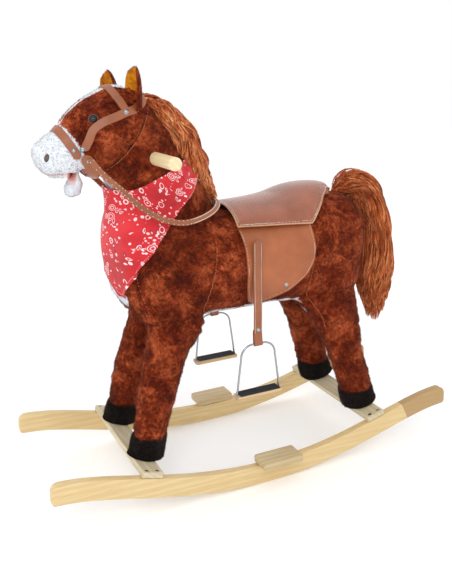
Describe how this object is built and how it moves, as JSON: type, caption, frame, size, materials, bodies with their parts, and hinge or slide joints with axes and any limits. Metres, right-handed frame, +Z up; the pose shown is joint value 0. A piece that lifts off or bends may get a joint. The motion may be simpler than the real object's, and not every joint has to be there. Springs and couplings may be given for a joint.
{
  "type": "plush rocking horse",
  "caption": "Plush horse on two curved wooden rockers, with a padded saddle, hanging stirrups, bridle, rein, handle bar and red neckerchief.",
  "frame": {"origin": "on the floor, in the middle between the two rockers, halfway along them", "axes": "-X is the way the horse faces, -Y is its left side, +Z is up"},
  "size_m": [0.9192, 0.386, 0.8362],
  "materials": {
    "beech": "clear satin varnish",
    "board_wood": "plain sanded",
    "frame_wood": "plain sawn",
    "screw_steel": "zinc plated",
    "brown_plush": "short crushed pile",
    "white_plush": "short pile",
    "black_plush": "short pile",
    "long_fur": "long soft pile",
    "brown_leather": "semi gloss",
    "bandana_cotton": "printed cotton",
    "eye_plastic": "polished",
    "chrome_wire": "bright",
    "tread_wood": "plain sanded"
  },
  "bodies": {
    "horse": {"rocker_left": "beech", "rocker_right": "beech", "handle_bar": "beech", "cross_board_front": "board_wood", "cross_board_rear": "board_wood", "footrest_left": "board_wood", "footrest_right": "board_wood", "leg_post_front_left": "frame_wood", "leg_post_front_right": "frame_wood", "leg_post_rear_left": "frame_wood", "leg_post_rear_right": "frame_wood", "body_board": "frame_wood", "neck_post": "frame_wood", "tail_pin": "frame_wood", "screw_front_left_1": "screw_steel", "screw_front_left_2": "screw_steel", "screw_front_right_1": "screw_steel", "screw_front_right_2": "screw_steel", "screw_rear_left_1": "screw_steel", "screw_rear_left_2": "screw_steel", "screw_rear_right_1": "screw_steel", "screw_rear_right_2": "screw_steel", "jaw_pin": "screw_steel", "body_plush": "brown_plush", "neck_plush": "brown_plush", "head_plush": "brown_plush", "front_leg_left": "brown_plush", "front_leg_right": "brown_plush", "rear_leg_left": "brown_plush", "rear_leg_right": "brown_plush", "ear_left": "brown_plush", "ear_right": "brown_plush", "muzzle_plush": "white_plush", "hoof_front_left": "black_plush", "hoof_front_right": "black_plush", "hoof_rear_left": "black_plush", "hoof_rear_right": "black_plush", "mane": "long_fur", "saddle_seat": "brown_leather", "saddle_flap_left": "brown_leather", "saddle_flap_right": "brown_leather", "noseband": "brown_leather", "cheek_strap_left": "brown_leather", "cheek_strap_right": "brown_leather", "brow_band": "brown_leather", "crown_strap": "brown_leather", "chin_strap": "brown_leather", "rein": "brown_leather", "bandana": "bandana_cotton", "eye_left": "eye_plastic", "eye_right": "eye_plastic"},
    "jaw": {"lower_jaw": "white_plush"},
    "tail_body": {"tail": "long_fur"},
    "strap_left": {"stirrup_strap_left": "brown_leather"},
    "strap_right": {"stirrup_strap_right": "brown_leather"},
    "stirrup_left": {"stirrup_iron_left": "chrome_wire", "stirrup_tread_left": "tread_wood"},
    "stirrup_right": {"stirrup_iron_right": "chrome_wire", "stirrup_tread_right": "tread_wood"}
  },
  "joints": [
    {"name": "jaw_hinge", "type": "hinge", "parent": "horse", "child": "jaw", "pos_m": [-0.329, 0, 0.659], "axis": [0, 1, 0], "range_deg": [-3, 6]},
    {"name": "tail_wag", "type": "hinge", "parent": "horse", "child": "tail_body", "pos_m": [0.284, 0, 0.556], "axis": [0, 0, 1], "range_deg": [-15, 15]},
    {"name": "stirrup_swing_left", "type": "hinge", "parent": "horse", "child": "strap_left", "pos_m": [-0.003, -0.107, 0.511], "axis": [0, 1, 0], "range_deg": [-25, 18]},
    {"name": "stirrup_tip_left", "type": "hinge", "parent": "strap_left", "child": "stirrup_left", "pos_m": [-0.003, -0.107, 0.291], "axis": [1, 0, 0], "range_deg": [-35, 35]},
    {"name": "stirrup_swing_right", "type": "hinge", "parent": "horse", "child": "strap_right", "pos_m": [-0.003, 0.107, 0.511], "axis": [0, 1, 0], "range_deg": [-25, 18]},
    {"name": "stirrup_tip_right", "type": "hinge", "parent": "strap_right", "child": "stirrup_right", "pos_m": [-0.003, 0.107, 0.291], "axis": [1, 0, 0], "range_deg": [-35, 35]}
  ]
}
